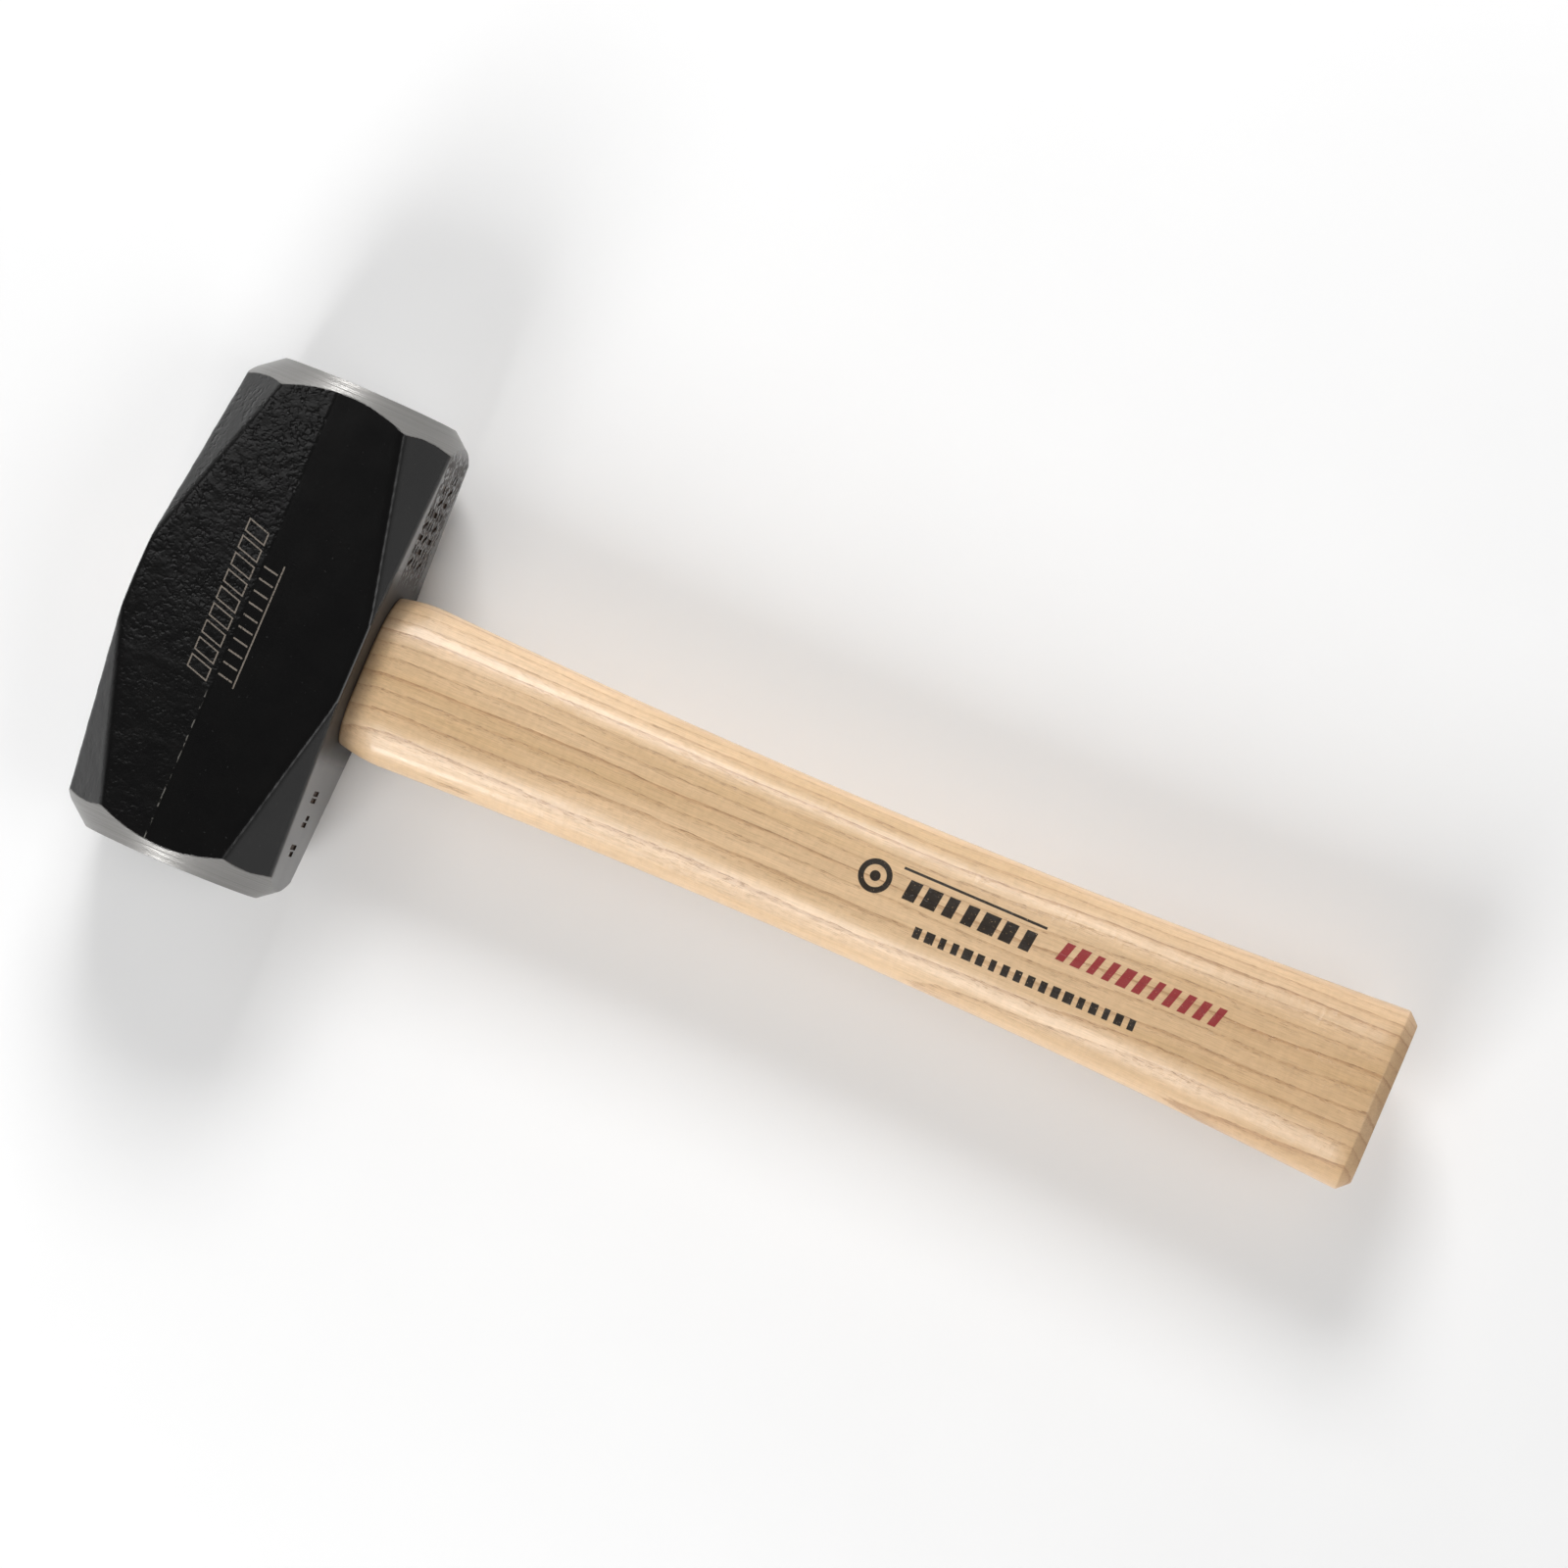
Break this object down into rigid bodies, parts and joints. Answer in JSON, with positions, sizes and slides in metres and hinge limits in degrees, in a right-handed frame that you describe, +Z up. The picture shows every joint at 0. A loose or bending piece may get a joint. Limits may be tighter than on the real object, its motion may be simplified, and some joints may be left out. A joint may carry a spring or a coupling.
{
  "type": "sledgehammer",
  "caption": "Short-handled sledgehammer lying on its cheek, with a black double-faced forged head, polished bevelled striking ends and a flared wooden handle wedged in the eye.",
  "frame": {"origin": "middle of the lower cheek, the flat that the hammer lies on, under the crossing of the head's and the handle's centre lines", "axes": "+X along the handle from the head to the butt, +Y along the head from one striking face to the other, +Z up out of the upper cheek"},
  "size_m": [0.273, 0.105, 0.045],
  "materials": {
    "painted_forging": "black enamel over a drop-forged skin, with the striking faces and their turned bevels bare and polished",
    "hickory": null,
    "wedge_wood": "sawn end grain, trimmed flush with the head",
    "wedge_steel": "plain mild steel, ground flush with the head"
  },
  "bodies": {
    "root": {"hammer_head": "painted_forging", "handle": "hickory", "wooden_wedge": "wedge_wood", "steel_wedge_left": "wedge_steel", "steel_wedge_right": "wedge_steel"}
  },
  "joints": []
}
